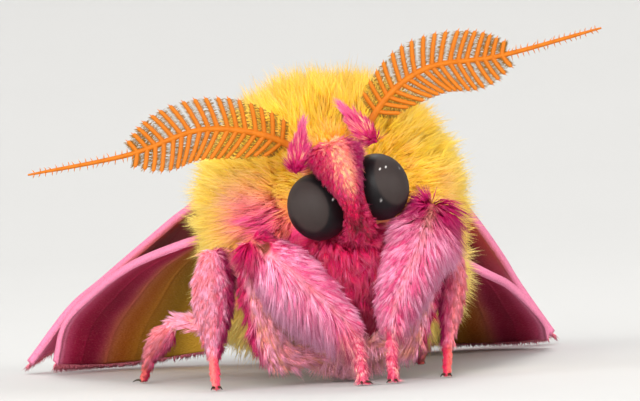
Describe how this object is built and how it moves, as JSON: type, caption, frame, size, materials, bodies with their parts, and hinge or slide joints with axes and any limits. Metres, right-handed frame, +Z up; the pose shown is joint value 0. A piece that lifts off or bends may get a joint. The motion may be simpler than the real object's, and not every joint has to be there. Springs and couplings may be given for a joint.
{
  "type": "rosy maple moth model",
  "caption": "Life-size still model of a rosy maple moth at rest, wings folded, woolly body, comb antennae raised.",
  "frame": {"origin": "middle of the moth's box, on the floor that its feet stand on", "axes": "-Y is the way the moth faces, +X is its left side, +Z is up"},
  "size_m": [0.0178, 0.0218, 0.0102],
  "materials": {
    "yellow_wool": "woolly",
    "pink_hair": "hairy",
    "wing_scales": "fine scales",
    "orange_comb": "satin",
    "eye_surface": "dull gloss"
  },
  "bodies": {
    "root": {"thorax": "yellow_wool", "abdomen": "yellow_wool", "head": "pink_hair", "chest": "pink_hair", "tuft_right": "pink_hair", "tuft_left": "pink_hair", "eye_right": "eye_surface", "eye_left": "eye_surface", "antenna_right": "orange_comb", "antenna_left": "orange_comb", "forewing_right": "wing_scales", "forewing_left": "wing_scales", "hindwing_right": "wing_scales", "hindwing_left": "wing_scales", "foreleg_right_thigh": "pink_hair", "foreleg_right_shin": "pink_hair", "foreleg_left_thigh": "pink_hair", "foreleg_left_shin": "pink_hair", "midleg_right_thigh": "pink_hair", "midleg_right_shin": "pink_hair", "midleg_left_thigh": "pink_hair", "midleg_left_shin": "pink_hair", "hindleg_right_thigh": "pink_hair", "hindleg_right_shin": "pink_hair", "hindleg_left_thigh": "pink_hair", "hindleg_left_shin": "pink_hair"}
  },
  "joints": []
}
